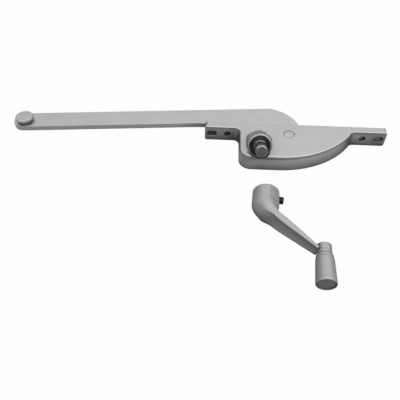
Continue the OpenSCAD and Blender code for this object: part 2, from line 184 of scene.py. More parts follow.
def join_rings(rings, closed):
    """Quads or triangles between rings of vertex numbers; a ring of one number is a point."""
    faces = []
    pairs = list(zip(rings, rings[1:]))
    if closed:
        pairs.append((rings[-1], rings[0]))
    for low, high in pairs:
        count = max(len(low), len(high))
        for i in range(count):
            j = (i + 1) % count
            corners = [low[i % len(low)], low[j % len(low)], high[j % len(high)], high[i % len(high)]]
            faces.append(tuple(dict.fromkeys(corners)))
    return faces


def lathe(name, profile, place, closed=False, steps=96):
    """A turned piece: profile holds (radius, height), and a radius of zero is a point on the axis."""
    verts, rings = [], []
    for r, z in profile:
        count = 1 if r == 0 else steps
        rings.append(list(range(len(verts), len(verts) + count)))
        verts += [(r * cos(2 * pi * i / steps), r * sin(2 * pi * i / steps), z) for i in range(count)]
    return new_piece(name, verts, join_rings(rings, closed), place)


def loft(name, sections, place):
    """A solid through rings of points, all with the same count, with flat ends."""
    verts, rings = [], []
    for section in sections:
        rings.append(list(range(len(verts), len(verts) + len(section))))
        verts += section
    faces = join_rings(rings, False)
    faces.append(tuple(reversed(rings[0])))
    faces.append(tuple(rings[-1]))
    return new_piece(name, verts, faces, place)


def prism(name, outline, low, high, place):
    """An outline in plan, pulled up from one height to another."""
    return loft(name, [[(x, y, z) for x, y in outline] for z in (low, high)], place)


def box_piece(low, high, place, name="box"):
    plan = [(low[0], low[1]), (high[0], low[1]), (high[0], high[1]), (low[0], high[1])]
    return prism(name, plan, low[2], high[2], place)


def rod(name, r, low, high, place, end_r=None, steps=96):
    """A turned cylinder between two heights, or a cone that ends at end_r."""
    return lathe(name, [(0, low), (r, low), (end_r or r, high), (0, high)], place, steps=steps)


def arc(centre, r, start, end, steps):
    """Points along an arc, in degrees, with both ends."""
    angles = [radians(start + (end - start) * i / steps) for i in range(steps + 1)]
    return [(centre[0] + r * cos(a), centre[1] + r * sin(a)) for a in angles]


def apply_modifiers(piece):
    """Puts what the modifiers make in place of the piece's mesh."""
    bpy.context.view_layer.update()
    shown = piece.evaluated_get(bpy.context.evaluated_depsgraph_get())
    mesh = bpy.data.meshes.new_from_object(shown)
    old = piece.data
    piece.modifiers.clear()
    piece.data = mesh
    mesh.name = piece.name
    bpy.data.meshes.remove(old)


def combine(piece, operation, *others):
    """A boolean of piece with each of the others, which are then removed."""
    for other in others:
        modifier = piece.modifiers.new("combine", "BOOLEAN")
        modifier.operation = operation
        modifier.solver = "MANIFOLD"
        modifier.object = other
        apply_modifiers(piece)
        bpy.data.objects.remove(other)
    return piece


def cut(piece, *others):
    return combine(piece, "DIFFERENCE", *others)


def unite(piece, *others):
    return combine(piece, "UNION", *others)


def clean(piece, weld=1e-6, flat=0.1):
    """Welds doubled points and joins faces that lie in one plane."""
    work = bmesh.new()
    work.from_mesh(piece.data)
    bmesh.ops.remove_doubles(work, verts=work.verts, dist=weld)
    bmesh.ops.dissolve_limit(work, angle_limit=radians(flat), verts=work.verts, edges=work.edges)
    bmesh.ops.recalc_face_normals(work, faces=work.faces)
    work.to_mesh(piece.data)
    work.free()
    return piece


def shade(piece, angle=32):
    """Smooth faces with true flats: edges sharper than angle stay sharp, and big faces lead."""
    mesh = piece.data
    mesh.shade_smooth()
    mesh.set_sharp_from_angle(angle=radians(angle))
    modifier = piece.modifiers.new("normals", "WEIGHTED_NORMAL")
    modifier.keep_sharp = True
    modifier.weight = 80
    apply_modifiers(piece)
    return piece


# ---- Solid fields: smooth castings are made from signed distances ----

SETTLING_STEPS = 4
LEAST_SLOPE = 0.05


def smooth_min(a, b, k):
    """The lesser of two distances, blended over k where they are close."""
    h = np.clip(0.5 + 0.5 * (b - a) / k, 0, 1)
    return b * (1 - h) + a * h - k * h * (1 - h)


def smooth_max(a, b, k):
    return -smooth_min(-a, -b, k)


def edge_ends(values, axis, rest):
    """The values at both ends of each grid edge along an axis."""
    low, high = [rest] * 3, [rest] * 3
    low[axis], high[axis] = slice(0, -1), slice(1, None)
    return values[tuple(low)], values[tuple(high)]


def grid_crossings(values):
    """For each grid cell, the mean of the points where its edges cross the surface, and their count."""
    cells = tuple(n - 1 for n in values.shape)
    total, count = np.zeros(cells + (3,)), np.zeros(cells)
    for axis in range(3):
        a, b = edge_ends(values, axis, slice(None))
        crosses = (a < 0) != (b < 0)
        share = np.where(crosses, a / np.where(crosses, a - b, 1), 0)
        others = [i for i in range(3) if i != axis]
        for step in ((0, 0), (0, 1), (1, 0), (1, 1)):
            part = [slice(None)] * 3
            for other, s in zip(others, step):
                part[other] = slice(s, s + cells[other])
            here, where = crosses[tuple(part)], share[tuple(part)]
            count += here
            total[..., axis] += where * here
            for other, s in zip(others, step):
                total[..., other] += s * here
    return total, count


def field_quads(values, number):
    """Quads between the cells around each grid edge that crosses the surface."""
    quads = []
    for axis in range(3):
        a, b = edge_ends(values < 0, axis, slice(1, -1))
        first, second = [i for i in range(3) if i != axis]
        for entering in (False, True):
            at = np.argwhere((a != b) & (b == entering))
            at[:, first] += 1
            at[:, second] += 1
            corners = []
            for da, db in ((-1, -1), (0, -1), (0, 0), (-1, 0)):
                cell = at.copy()
                cell[:, first] += da
                cell[:, second] += db
                corners.append(number[tuple(cell.T)])
            if entering != (axis == 1):
                corners.reverse()
            quads.append(np.stack(corners, 1))
    return np.concatenate(quads)


def field_piece(name, field, low, high, step, place):
    """A smooth mesh of the surface where field is zero, with normals from the field itself."""
    axes = [np.arange(low[i], high[i] + step, step) for i in range(3)]
    values = field(*np.meshgrid(*axes, indexing="ij"))
    total, count = grid_crossings(values)
    active = count > 0
    number = np.full(active.shape, -1)
    number[active] = np.arange(active.sum())
    cells = np.argwhere(active)
    points = np.array(low) + step * (cells + total[active] / count[active][:, None])

    def gradient(p):
        d = step * 0.1
        sides = []
        for axis in np.eye(3) * d:
            sides.append(field(*(p + axis).T) - field(*(p - axis).T))
        return np.stack(sides, 1) / (2 * d)

    for _ in range(SETTLING_STEPS):
        slope = gradient(points)
        size = np.maximum((slope**2).sum(1), LEAST_SLOPE)
        move = (field(*points.T) / size)[:, None] * slope
        points -= np.clip(move, -step / 2, step / 2)
    slope = gradient(points)
    normals = slope / np.maximum(np.linalg.norm(slope, axis=1), 1e-6)[:, None]
    piece = new_piece(name, points.tolist(), field_quads(values, number).tolist(), place)
    turn = np.array(place.to_3x3())
    piece.data.shade_smooth()
    piece.data.normals_split_custom_set_from_vertices((normals @ turn.T).tolist())
    return piece


# ---- Housing ----

RIM_R = 1.25
EAR_EDGE_R = 0.95
EAR_END_R = 2.0
BACK_EDGE_R = 0.25
BOTTOM_EDGE_R = 0.4
FRONT_DRAFT = 0.35
# A hollow along the front: its depth, and where it starts, is deepest and ends below the roof
UNDERCUT = 0.6
UNDERCUT_FROM = 1.3
UNDERCUT_AT = 1.5
UNDERCUT_TO = 3.8
# Where the casting's cross-sections lie: heights above its foot, then depths below its roof
FOOT_HEIGHTS = (0, 0.05, 0.15, 0.3, 0.5, 0.9, 1.4, 2.1, 6)
HOLLOW_DEPTHS = (UNDERCUT_TO, 3.2, 2.6, 2.0, UNDERCUT_AT, UNDERCUT_FROM)
RIM_DEPTHS = (1.2, 1.0, 0.8, 0.6, 0.45, 0.3, 0.18, 0.08, 0.02, 0)
# The fine groove round the pivot, and the bevel at the mouth of each screw hole
PIVOT_LINE_W = 0.5
PIVOT_LINE_DEPTH = 0.9
HOLE_BEVEL = 0.3
HEAD_ROOM_Z = ARM_Z - 0.7
PLATE_SEAT_T = WALL_T - 0.9
# The block round the spindle's rear bush, measured from the pivot, with its longer foot
BLOCK_FRONT = 5.0
BLOCK_BACK = 10.5
BLOCK_LEFT = -30.0
BLOCK_RIGHT = -22.8
BLOCK_FOOT_RIGHT = -20.8
BLOCK_FOOT_TOP = ARM_Z - 0.4
SEAM = 0.02
# The spindle's room behind the boss
REAR_SEAT_FROM = -9.4
REAR_SEAT_R = 2.43
WORM_ROOM_FROM = -5.0
WORM_ROOM_TO = BOSS_INSIDE_FROM - 1
RING_GROOVE_R = RING_R + 0.1
RING_PLAY = 0.05
# The boss's blend into the roof fades out towards BLEND_END_Y, near the front
BLEND_END_Y = -HOUSING_D + 3.5
BLEND_FADE_L = 6.0
LEAST_BLEND = 0.05
BOSS_SINK = 0.03


def right_fillet():
    """Where the fillet at the right ear is centred along X, and how far in Y from the arc's centre."""
    rise = FRONT_R - HOUSING_D + EAR_T + FILLET_R
    reach = FRONT_R + FILLET_R
    return ARC_X + sqrt(reach**2 - rise**2), rise


def outline_runs():
    """The casting in plan, anticlockwise from the back left: (points, rim radius at each end)."""
    half = HOUSING_L / 2
    right_x, rise = right_fillet()
    meets = degrees(atan2(-rise, right_x - ARC_X))
    fillet_y = -EAR_T - FILLET_R
    straight = np.linspace(BODY_LEFT + CORNER_R, ARC_X, 16)[1:-1]
    return [
        ([(-half, 0)], EAR_END_R, EAR_END_R),
        ([(-half, -EAR_T)], EAR_EDGE_R, EAR_EDGE_R),
        (arc((BODY_LEFT - FILLET_R, fillet_y), FILLET_R, 90, 0, 10), EAR_EDGE_R, RIM_R),
        (arc((BODY_LEFT + CORNER_R, -HOUSING_D + CORNER_R), CORNER_R, 180, 270, 18), RIM_R, RIM_R),
        ([(x, -HOUSING_D) for x in straight], RIM_R, RIM_R),
        (arc(ARC_CENTRE, FRONT_R, -90, meets, 36), RIM_R, RIM_R),
        (arc((right_x, fillet_y), FILLET_R, 180 + meets, 90, 10), RIM_R, EAR_EDGE_R),
        ([(half, -EAR_T)], EAR_END_R, EAR_END_R),
        ([(half, 0)], BACK_EDGE_R, BACK_EDGE_R),
    ]


def inset_ring(points, insets):
    """Moves each side of a closed outline inwards by its own distance; side i leaves point i."""
    p = np.array(points)
    along = np.roll(p, -1, 0) - p
    along /= np.linalg.norm(along, axis=1)[:, None]
    inward = np.stack([-along[:, 1], along[:, 0]], 1)
    before_n, after_n = np.roll(inward, 1, 0), inward
    before_d, after_d = np.roll(insets, 1), insets
    cosine = (before_n * after_n).sum(1)
    scale = 1 / np.maximum(1 - cosine**2, 1e-3)
    crossing = (
        ((before_d - after_d * cosine) * scale)[:, None] * before_n
        + ((after_d - before_d * cosine) * scale)[:, None] * after_n
    )
    middle = before_n + after_n
    middle /= np.linalg.norm(middle, axis=1)[:, None]
    straight = middle * ((before_d + after_d) / 2 / (middle * after_n).sum(1))[:, None]
    return p + np.where((cosine > 0.9)[:, None], straight, crossing)


def rounding(r, depth):
    """How far a rounded edge of radius r has gone in, at a depth below its flat."""
    depth = np.minimum(depth, r)
    return r - np.sqrt(np.maximum(r**2 - (r - depth) ** 2, 0))


def housing_blank():
    """The outside of the casting: its rim rounded, its front drafted and hollowed under the rim."""
    points, radii = [], []
    for run, first, last in outline_runs():
        points += run
        radii += list(np.linspace(first, last, len(run)))
    radii = np.array(radii)
    bottoms = np.where(radii == EAR_END_R, EAR_END_R, BOTTOM_EDGE_R)
    on_body = np.clip((radii - EAR_EDGE_R) / (RIM_R - EAR_EDGE_R), 0, 1) * (radii <= RIM_R)
    in_front = (radii <= RIM_R) & (radii >= EAR_EDGE_R)
    heights = [*FOOT_HEIGHTS, *(HOUSING_H - depth for depth in HOLLOW_DEPTHS + RIM_DEPTHS)]
    sections = []
    for z in heights:
        insets = rounding(radii, HOUSING_H - z) + rounding(bottoms, z)
        insets = insets + on_body * FRONT_DRAFT * z / HOUSING_H
        hollow = np.interp(HOUSING_H - z, [UNDERCUT_FROM, UNDERCUT_AT, UNDERCUT_TO], [0, UNDERCUT, 0])
        insets = insets + in_front * hollow
        sections.append([(x, y, z) for x, y in inset_ring(points, insets)])
    return loft("housing_casting", sections, ON_BASE)


def body_plan(inset, back, right=None):
    """The teardrop in plan with its edge moved in, cut off at the back and perhaps on the right."""
    front = -HOUSING_D + inset
    r = CORNER_R - inset
    left = BODY_LEFT + inset
    reach = FRONT_R - inset
    if right is None:
        last = degrees(asin((back - ARC_CENTRE[1]) / reach))
    else:
        last = degrees(asin((right - ARC_X) / reach)) - 90
    front_side = arc(ARC_CENTRE, reach, -90, last, 30)
    corner = arc((left + r, front + r), r, 180, 270, 14)
    closing = [] if right is None else [(right, back)]
    return [(left, back)] + corner + front_side + closing


def at_rivets():
    """A place on each rivet's axis."""
    return [AT_PIVOT @ Matrix.Translation((x, y, 0)) for x, y in RIVET_PLACES]


def housing_cavity():
    """The room inside, less the boss's root, the rear block, the hub and the posts in it."""
    cavity = prism("cavity", body_plan(WALL_T, PAST, CAVITY_RIGHT), -PAST, HOUSING_H - ROOF_T, ON_BASE)
    keep = [
        rod("boss_root", BOSS_R + 1, BOSS_INSIDE_FROM, BOSS_FACE + 2, ON_SPINDLE),
        box_piece((BLOCK_LEFT, BLOCK_FRONT, PLATE_FROM), (BLOCK_RIGHT, BLOCK_BACK, HOUSING_H), AT_PIVOT),
        box_piece((BLOCK_LEFT, BLOCK_FRONT + SEAM, PLATE_FROM),
                  (BLOCK_FOOT_RIGHT, BLOCK_BACK - SEAM, BLOCK_FOOT_TOP), AT_PIVOT),
        rod("hub", PIVOT_HUB_R, PIVOT_HUB_Z, HOUSING_H, AT_PIVOT, end_r=PIVOT_HUB_R + 0.6),
    ]
    for place in at_rivets():
        keep.append(rod("post", POST_R, PLATE_TOP, HOUSING_H, place, end_r=POST_R + 0.4, steps=32))
    return cut(cavity, *keep)


def boss_field(x, y, z):
    """The boss: a cylinder with a ball for its hidden end, rising softly out of the roof."""
    to = [x - SPINDLE_START.x, y - SPINDLE_START.y, z + BASE_Z - SPINDLE_START.z]
    along = to[0] * SPINDLE_AXIS.x + to[1] * SPINDLE_AXIS.y + to[2] * SPINDLE_AXIS.z
    radial = np.sqrt(np.maximum(to[0] ** 2 + to[1] ** 2 + to[2] ** 2 - along**2, 0))
    barrel = np.hypot(radial, np.minimum(along - BOSS_BALL_AT, 0)) - BOSS_R
    barrel = np.maximum(barrel, along - BOSS_FACE - 1)
    roof = np.maximum(z - (HOUSING_H - BOSS_SINK), BLEND_END_Y - y)
    blend = BOSS_BLEND * np.clip((y - BLEND_END_Y) / BLEND_FADE_L, LEAST_BLEND, 1)
    solid = smooth_min(barrel, roof, blend)
    sides = np.maximum(np.abs(x - SPINDLE_START.x) - BOSS_R - BOSS_BLEND - 0.2, y - SPINDLE_START.y - 3)
    return np.maximum(np.maximum(solid, sides), HOUSING_H - ROOF_T / 2 - z)


def make_boss():
    x, y = SPINDLE_START.x, SPINDLE_START.y
    tip_y = y + SPINDLE_AXIS.y * (BOSS_FACE + 2) - BOSS_R
    reach = BOSS_R + 5
    low = (x - reach, tip_y, HOUSING_H - ROOF_T)
    high = (x + reach, y + 4, HOUSING_H + 14)
    return field_piece("boss", boss_field, low, high, 0.35, ON_BASE)


def spindle_bore():
    """Everything round the spindle's axis that is cut away, with the boss's rounded lip."""
    outside_r = BOSS_R + 0.3
    profile = [
        (0, REAR_SEAT_FROM), (REAR_SEAT_R, REAR_SEAT_FROM), (REAR_SEAT_R, WORM_ROOM_FROM),
        (WORM_CLEAR_R, WORM_ROOM_FROM), (WORM_CLEAR_R, WORM_ROOM_TO), (BUSH_R, WORM_ROOM_TO),
        (BUSH_R, BUSH_FLANGE_FROM), (RECESS_R, BUSH_FLANGE_FROM), (RECESS_R, RING_FROM - RING_PLAY),
        (RING_GROOVE_R, RING_FROM - RING_PLAY), (RING_GROOVE_R, RING_TO + RING_PLAY),
        (RECESS_R, RING_TO + RING_PLAY), (RECESS_R, BOSS_FACE - 0.35), (RECESS_R + 0.08, BOSS_FACE - 0.15),
        (RECESS_R + 0.3, BOSS_FACE), (BOSS_R - 0.45, BOSS_FACE), (BOSS_R - 0.15, BOSS_FACE - 0.15),
        (BOSS_R + 0.02, BOSS_FACE - 0.5), (outside_r, BOSS_FACE - 0.5), (outside_r, SPINDLE_TIP),
        (0, SPINDLE_TIP),
    ]
    return lathe("spindle_bore", profile, ON_SPINDLE, steps=128)


def along_y(x):
    """A place on an ear's hole, with Z running out of the ear's front."""
    return placed((x, -EAR_T, 0), (0, -1, 0), (1, 0, 0))


def screw_hole(x):
    """A round screw hole through an ear, with a shallow bevel at its mouth."""
    profile = [(0, -EAR_T - PAST), (HOLE_R, -EAR_T - PAST), (HOLE_R, -HOLE_BEVEL),
               (HOLE_R + HOLE_BEVEL + PAST, PAST), (0, PAST)]
    return lathe("hole", profile, along_y(x), steps=48)


def screw_slot(x):
    """The same as a slot along X, for adjusting."""
    half = SLOT_L / 2 - HOLE_R
    sections = []
    for z, r in ((-EAR_T - PAST, HOLE_R), (-HOLE_BEVEL, HOLE_R), (0, HOLE_R + HOLE_BEVEL),
                 (PAST, HOLE_R + HOLE_BEVEL + PAST)):
        outline = arc((half, 0), r, -90, 90, 20) + arc((-half, 0), r, 90, 270, 20)
        sections.append([(px, py, z) for px, py in outline])
    return loft("hole", sections, along_y(x))


def pivot_hole():
    """The room for the arm's head and the pivot's hole, widened at the roof into a fine groove."""
    bore = PIVOT_R + FIT
    groove = bore + PIVOT_LINE_W / 2
    groove_from = HOUSING_H - PIVOT_LINE_DEPTH
    profile = [
        (0, HEAD_ROOM_Z), (GEAR_SWEEP_R, HEAD_ROOM_Z), (GEAR_SWEEP_R, PIVOT_HUB_Z), (bore, PIVOT_HUB_Z),
        (bore, groove_from), (groove, groove_from), (groove, HOUSING_H + PAST), (0, HOUSING_H + PAST),
    ]
    return lathe("pivot_hole", profile, AT_PIVOT, steps=128)


def make_housing():
    """The whole casting: its outside and boss, then the room inside and every hole."""
    piece = housing_blank()
    boss = rod("boss", BOSS_R, BOSS_FROM, BOSS_FACE + 1, ON_SPINDLE, steps=128)
    far = HOUSING_L
    below = box_piece((-far, -far, -HOUSING_H), (far, far, PLATE_FROM), ON_BASE)
    above = box_piece((-far, -far, HOUSING_H - ROOF_T / 3), (far, far, 2 * HOUSING_H), ON_BASE)
    cut(boss, below, above)
    unite(piece, boss, make_boss())
    cut(piece, housing_cavity(), spindle_bore(), pivot_hole())
    cut(piece, prism("plate_seat", body_plan(PLATE_SEAT_T, -WALL_T), -PAST, PLATE_TOP, ON_BASE))
    for place in at_rivets():
        cut(piece, rod("rivet_hole", RIVET_R + FIT, -PAST, RIVET_TOP, place, steps=32))
    for side in (-1, 1):
        cut(piece, screw_slot(side * OUTER_SPAN / 2))
        cut(piece, screw_hole(side * INNER_SPAN / 2))
    shade(clean(piece, flat=0.001))
    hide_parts("housing")
    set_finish(piece, "housing_paint")
    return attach(piece, "base")


# ---- Arm and stud ----

ARM_EDGE = 0.4


def make_arm():
    """The arm's own solid with its stamped edges broken; its teeth stay as they are."""
    mesh = frame["nodes"]["arm"].data.copy()
    piece = clean(add_object("arm_plate", mesh), weld=1e-5, flat=0.5)
    mesh.attributes.new("bevel_weight_edge", "FLOAT", "EDGE")
    work = bmesh.new()
    work.from_mesh(mesh)
    layer = work.edges.layers.float["bevel_weight_edge"]
    gear_zone = (GEAR_SWEEP_R + 1) * MM
    for edge in work.edges:
        ends = [v.co for v in edge.verts]
        flat = abs(ends[0].z - ends[1].z) < 1e-6
        outside = all((Vector((v.x, v.y)) - PIVOT.to_2d() * MM).length > gear_zone for v in ends)
        if flat and outside and len(edge.link_faces) == 2 and edge.calc_face_angle() > radians(60):
            edge[layer] = 1.0
    work.to_mesh(mesh)
    work.free()
    modifier = piece.modifiers.new("edges", "BEVEL")
    modifier.limit_method = "WEIGHT"
    modifier.width = ARM_EDGE * MM
    modifier.segments = 3
    apply_modifiers(piece)
    shade(piece)
    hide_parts("arm")
    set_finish(piece, "arm_steel")
    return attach(piece, "arm")


def make_stud():
    """A mushroom stud: a riveted neck and a flat head with rounded edges."""
    neck, head = 4.0, 7.5
    head_from, head_to = ARM_TOP + 1.9, ARM_TOP + 4.2
    profile = [
        (0, ARM_Z + 0.05), (neck - 0.2, ARM_Z + 0.05), (neck, ARM_Z + 0.3), (neck, head_from - 0.2),
        (neck + 0.2, head_from), (head - 0.5, head_from), (head - 0.15, head_from + 0.15),
        (head, head_from + 0.5), (head, head_to - 0.6), (head - 0.08, head_to - 0.32),
        (head - 0.28, head_to - 0.1), (head - 0.6, head_to), (0, head_to),
    ]
    piece = shade(lathe("slider_stud", profile, AT_STUD))
    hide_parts("arm_stud")
    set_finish(piece, "arm_steel")
    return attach(piece, "arm")


def make_pivot_pin():
    """The pivot, headed over flush with the roof, with a fine bevel round its end."""
    foot, head = 3.2, PIVOT_R - PIVOT_LINE_W / 2
    groove_from = HOUSING_H - PIVOT_LINE_DEPTH
    profile = [
        (0, PLATE_FROM), (foot, PLATE_FROM), (foot, PLATE_TOP), (PIVOT_R, PLATE_TOP), (PIVOT_R, groove_from),
        (head, groove_from), (head, HOUSING_H - 0.12), (head - 0.1, HOUSING_H - 0.03),
        (head - 0.8, HOUSING_H), (0, HOUSING_H),
    ]
    piece = shade(lathe("pivot_rivet", profile, AT_PIVOT))
    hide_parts("pivot_pin")
    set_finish(piece, "plated_steel")
    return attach(piece, "base")


# ---- Spindle ----

SPLINES = 20
SPLINE_DEPTH = 0.35
SPLINE_FROM = BOSS_FACE + 2
SPLINE_STEPS = 10
SPLINE_GROOVE = 0.22
TAIL_FROM = -9.0
TAIL_R = 1.75
COLLAR_FROM = 11.9
COLLAR_TO = 12.9
COLLAR_R = 5.6
MODULE = 1.25
PRESSURE_ANGLE = radians(20)
LEAD_ANGLE = radians(9.26)
BACKLASH = 0.3
WORM_FROM = -4.6
WORM_TO = 5.6
WORM_R = MODULE / (2 * sin(LEAD_ANGLE))
WORM_ROOT_R = WORM_R - 1.2 * MODULE
WORM_TIP_R = WORM_R + 0.95 * MODULE
WORM_LEAD = pi * MODULE / cos(LEAD_ANGLE)
WORM_STEPS = 72
FLANK_STEPS = 7
SHARP_ABOVE = 28


def splined_ring(r, z, depth=0):
    """A round outline with a rounded groove of this depth between each two splines."""
    ring = []
    steps = SPLINES * SPLINE_STEPS
    for i in range(steps):
        phase = (i % SPLINE_STEPS) / SPLINE_STEPS
        inside = depth * max(0.0, 1 - (abs(phase - 0.5) / SPLINE_GROOVE) ** 2)
        a = 2 * pi * i / steps
        ring.append(((r - inside) * cos(a), (r - inside) * sin(a), z))
    return ring


def make_shaft():
    """The spindle without its worm: tail, journal, collar, and a splined end with a bevel."""
    r, neck = SPINDLE_R, 0.93 * WORM_ROOT_R
    stations = [
        (TAIL_R - 0.15, TAIL_FROM), (TAIL_R, TAIL_FROM + 0.2), (TAIL_R, -4.2), (neck, -4.2), (neck, 7),
        (JOURNAL_R, 10.2), (JOURNAL_R, COLLAR_FROM), (COLLAR_R, COLLAR_FROM), (COLLAR_R, COLLAR_TO),
        (JOURNAL_R, COLLAR_TO), (JOURNAL_R, SPLINE_FROM - 0.2), (JOURNAL_R - 0.15, SPLINE_FROM),
        (r, SPLINE_FROM), (r, SPLINE_FROM + 0.5, SPLINE_DEPTH), (r, SPINDLE_TIP - 0.9, SPLINE_DEPTH),
        (r - 0.2, SPINDLE_TIP - 0.5, SPLINE_DEPTH * 0.8), (r - 0.5, SPINDLE_TIP - 0.15, SPLINE_DEPTH * 0.3),
        (r - 0.8, SPINDLE_TIP), (r - 1.05, SPINDLE_TIP), (0.5, SPINDLE_TIP),
    ]
    piece = loft("spindle_shaft", [splined_ring(*station) for station in stations], ON_SPINDLE)
    shade(piece, SHARP_ABOVE)
    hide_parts("spindle")
    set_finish(piece, "spindle_steel")
    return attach(piece, "spindle")


def worm_sections():
    """Cross-sections of the one-start worm, each turned with the lead."""
    base = WORM_R * cos(atan(tan(PRESSURE_ANGLE) / sin(LEAD_ANGLE)))
    root, tip = WORM_ROOT_R, WORM_TIP_R

    def roll(r):
        """How far the tooth's involute side has turned away at a radius."""
        return 0 if r <= base else sqrt(r * r - base * base) / base - acos(base / r)

    play = BACKLASH / 4 / cos(LEAD_ANGLE) / WORM_LEAD * 2 * pi
    half = pi / 2 - play + roll(WORM_R)
    flank = [root + (tip - root) * i / FLANK_STEPS for i in range(FLANK_STEPS + 1)]
    ring = [(r, -(half - roll(r))) for r in flank]
    ring += [(tip, (half - roll(tip)) * (i / 2 - 1)) for i in range(1, 4)]
    ring += [(r, half - roll(r)) for r in reversed(flank)]
    left = 2 * (pi - (half - roll(root)))
    ring += [(root, half - roll(root) + left * i / 8) for i in range(1, 8)]
    sections = []
    for i in range(WORM_STEPS + 1):
        z = WORM_FROM + (WORM_TO - WORM_FROM) * i / WORM_STEPS
        turn = 2 * pi * z / WORM_LEAD
        sections.append([(r * cos(a + turn), r * sin(a + turn), z) for r, a in ring])
    return sections


def make_worm():
    piece = loft("spindle_worm", worm_sections(), ON_SPINDLE)
    shade(piece, SHARP_ABOVE)
    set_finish(piece, "spindle_steel")
    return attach(piece, "spindle")


RING_W = 1.7
RING_GAP_AT = radians(235)
RING_GAP_HALF = radians(14)
RING_EYE_TURN = radians(19)
RING_EYE_AT_R = RING_R - 2.1
RING_EYE_R = 1.5
RING_EYE_HOLE_R = 0.6


def ring_field(x, y, z):
    """An open ring with an eye at each side of its gap."""
    r, a = np.hypot(x, y), np.arctan2(y, x)
    away = np.abs((a - RING_GAP_AT + pi) % (2 * pi) - pi)
    band = np.abs(r - (RING_R - RING_W / 2)) - RING_W / 2
    band = np.maximum(band, (RING_GAP_HALF - away) * r)
    hole = np.full_like(r, 1e3)
    for side in (-1, 1):
        eye = RING_GAP_AT + side * RING_EYE_TURN
        from_eye = np.hypot(x - RING_EYE_AT_R * cos(eye), y - RING_EYE_AT_R * sin(eye))
        band = smooth_min(band, from_eye - RING_EYE_R, 0.3)
        hole = np.minimum(hole, from_eye - RING_EYE_HOLE_R)
    flat = smooth_max(band, -hole, 0.15)
    return smooth_max(flat, np.abs(z - (RING_TO + RING_FROM) / 2) - (RING_TO - RING_FROM) / 2, 0.25)


def make_retaining_ring():
    """An internal snap ring, all with rounded edges."""
    reach = RING_R + 0.4
    low = (-reach, -reach, RING_FROM - 0.3)
    high = (reach, reach, RING_TO + 0.3)
    piece = field_piece("snap_ring", ring_field, low, high, 0.17, ON_SPINDLE)
    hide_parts("retaining_ring")
    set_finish(piece, "dark_steel")
    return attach(piece, "base")


# ---- Crank ----

HUB_BEVEL = 0.7
HUB_FLAT_ANGLE = radians(58)
HUB_FLAT_DEPTH = 0.12
HUB_FLAT_LEAN = 0.01
EDGE_BLEND = 0.3
# The web's middle line runs from WEB_HUB to WEB_EYE, as (towards the eye, towards the knob)
WEB_HUB = np.array([2.1, 20.8])
WEB_EYE = np.array([36.2, 47.0])
WEB_HUB_R = 3.6
WEB_EYE_R = 1.1
WEB_HUB_HALF = 7.5
WEB_EYE_HALF = 4.6
WEB_EDGE_R = 0.9
WEB_L = float(np.linalg.norm(WEB_EYE - WEB_HUB))
# Near the hub the web is this much wider, and its edges this much rounder, over this length
WEB_RISE = 1.2
WEB_SOFTER = 4.5
WEB_RISE_L = 9.0
# The hollow in the web's front: where it is deepest, its edge, and how it starts and fades
TROUGH_DEPTH = 2.6
TROUGH_MIDDLE = 0.5
TROUGH_EDGE = 1.1
TROUGH_START = -2.0
TROUGH_RAMP_L = 12.0
TROUGH_FADE = 0.45
# The parting line of the casting, along the hub at an angle and along the web behind its middle
PARTING_ANGLE = radians(81)
PARTING_BEHIND = 0.58
PARTING_TURN_Z = 15.5
PARTING_H = 0.24
PARTING_W = 0.5
EYE_BAND = 3.2
EYE_BAND_H = 0.14
EYE_GROOVE = 0.25
WEB_BLEND = 6.0
EYE_BLEND = 0.5


def web_places(x, z):
    """How far along the web a point is, how far in front of its middle, and its share of the length."""
    ux, uz = (WEB_EYE - WEB_HUB) / WEB_L
    along = (x - WEB_HUB[0]) * ux + (z - WEB_HUB[1]) * uz
    front = -(x - WEB_HUB[0]) * uz + (z - WEB_HUB[1]) * ux
    return along, front, np.clip(along / WEB_L, 0, 1)


def web_r(share):
    """Half of the web's thickness, at a share of its length."""
    return WEB_HUB_R + (WEB_EYE_R - WEB_HUB_R) * share


def hub_field(x, y, z):
    """The round hub: bevelled at its mouth, domed at its foot, with one faint cast flat."""
    below = np.maximum(z - HUB_STRAIGHT, 0)
    hub = np.sqrt(x**2 + y**2 + below**2) - HUB_R
    bevel = (np.hypot(x, y) - (HUB_R - HUB_BEVEL) - z) / sqrt(2)
    hub = smooth_max(hub, bevel, EDGE_BLEND)
    hub = smooth_max(hub, -z, EDGE_BLEND)
    flat = x * cos(HUB_FLAT_ANGLE) + y * sin(HUB_FLAT_ANGLE) + HUB_FLAT_LEAN * z - (HUB_R - HUB_FLAT_DEPTH)
    return smooth_max(hub, flat, 0.8)


def web_side(along, front):
    """The web's outline seen from its side: a round-ended bar that gets thinner towards the eye."""
    narrowing = (WEB_HUB_R - WEB_EYE_R) / WEB_L
    slope = sqrt(1 - narrowing**2)
    across = np.abs(front)
    k = -across * narrowing + along * slope
    side = across * slope + along * narrowing - WEB_HUB_R
    side = np.where(k < 0, np.hypot(across, along) - WEB_HUB_R, side)
    return np.where(k > slope * WEB_L, np.hypot(across, along - WEB_L) - WEB_EYE_R, side)


